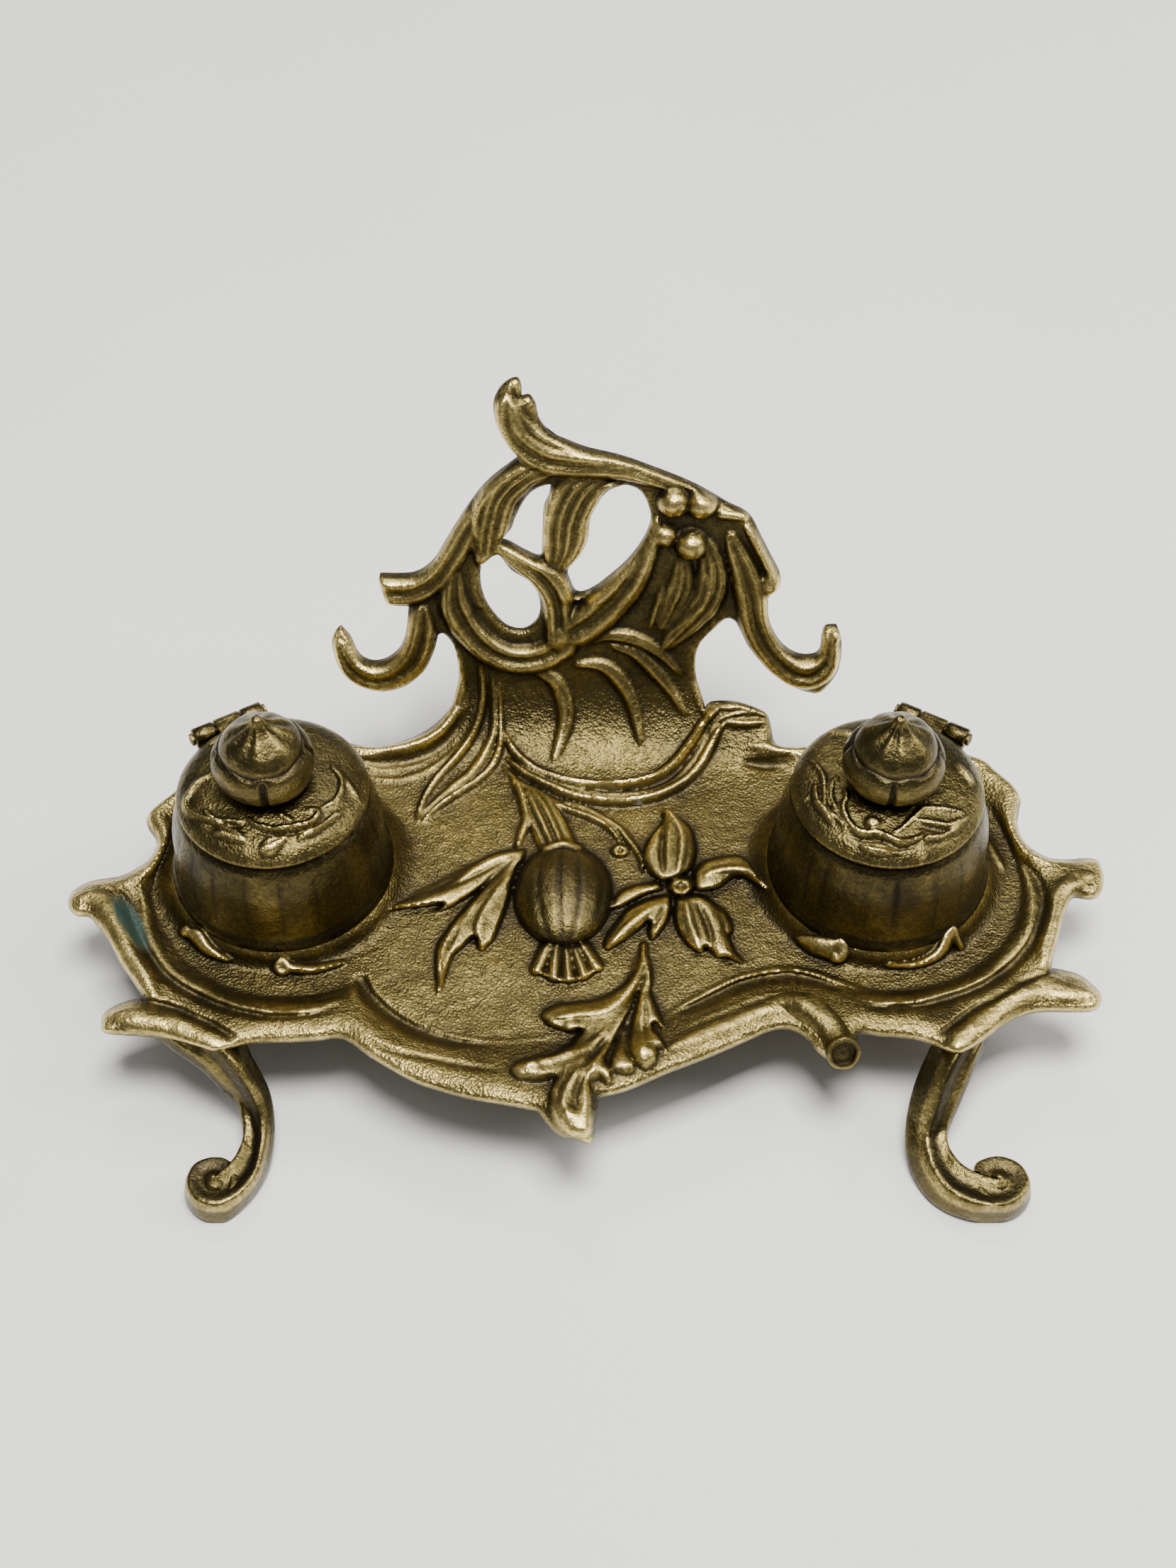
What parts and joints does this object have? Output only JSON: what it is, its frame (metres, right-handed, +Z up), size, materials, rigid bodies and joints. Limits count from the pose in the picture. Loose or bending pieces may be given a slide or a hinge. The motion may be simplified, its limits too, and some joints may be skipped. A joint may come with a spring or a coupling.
{
  "type": "desk inkstand",
  "caption": "Cast brass desk inkstand: leaf-shaped tray on scroll legs, hinged-lid ink wells and an openwork back gallery with pen hooks.",
  "frame": {"origin": "middle of the base, on the surface that the feet stand on", "axes": "+Z up, +X along the tray to the right as seen from the front, +Y from the front to the gallery at the back"},
  "size_m": [0.28, 0.1799, 0.128],
  "materials": {
    "cast_brass": "aged cast brass, polished on the ridges, dark in the recesses",
    "dark_brass": "unpolished brass with dark patina",
    "screws": "dull steel",
    "ink_liner": "clear pressed glass"
  },
  "bodies": {
    "stand": {"tray": "cast_brass", "gallery": "cast_brass", "well_left": "cast_brass", "ink_liner_left": "ink_liner", "hinge_pin_left": "dark_brass", "well_screw_left": "screws", "front_leg_left": "cast_brass", "rear_leg_left": "cast_brass", "leg_screw_front_left": "screws", "leg_screw_rear_left": "screws", "gallery_screw_left": "screws", "well_right": "cast_brass", "ink_liner_right": "ink_liner", "hinge_pin_right": "dark_brass", "well_screw_right": "screws", "front_leg_right": "cast_brass", "rear_leg_right": "cast_brass", "leg_screw_front_right": "screws", "leg_screw_rear_right": "screws", "gallery_screw_right": "screws"},
    "left_lid": {"lid_left": "cast_brass", "lid_finial_left": "cast_brass", "lid_nut_left": "dark_brass"},
    "right_lid": {"lid_right": "cast_brass", "lid_finial_right": "cast_brass", "lid_nut_right": "dark_brass"}
  },
  "joints": [
    {"name": "left_lid_hinge", "type": "hinge", "parent": "stand", "child": "left_lid", "pos_m": [-0.096, 0.02645, 0.0602], "axis": [-0.866, -0.5, 0], "range_deg": [0, 100]},
    {"name": "right_lid_hinge", "type": "hinge", "parent": "stand", "child": "right_lid", "pos_m": [0.092, 0.02645, 0.0602], "axis": [-0.866, 0.5, 0], "range_deg": [0, 100]}
  ]
}
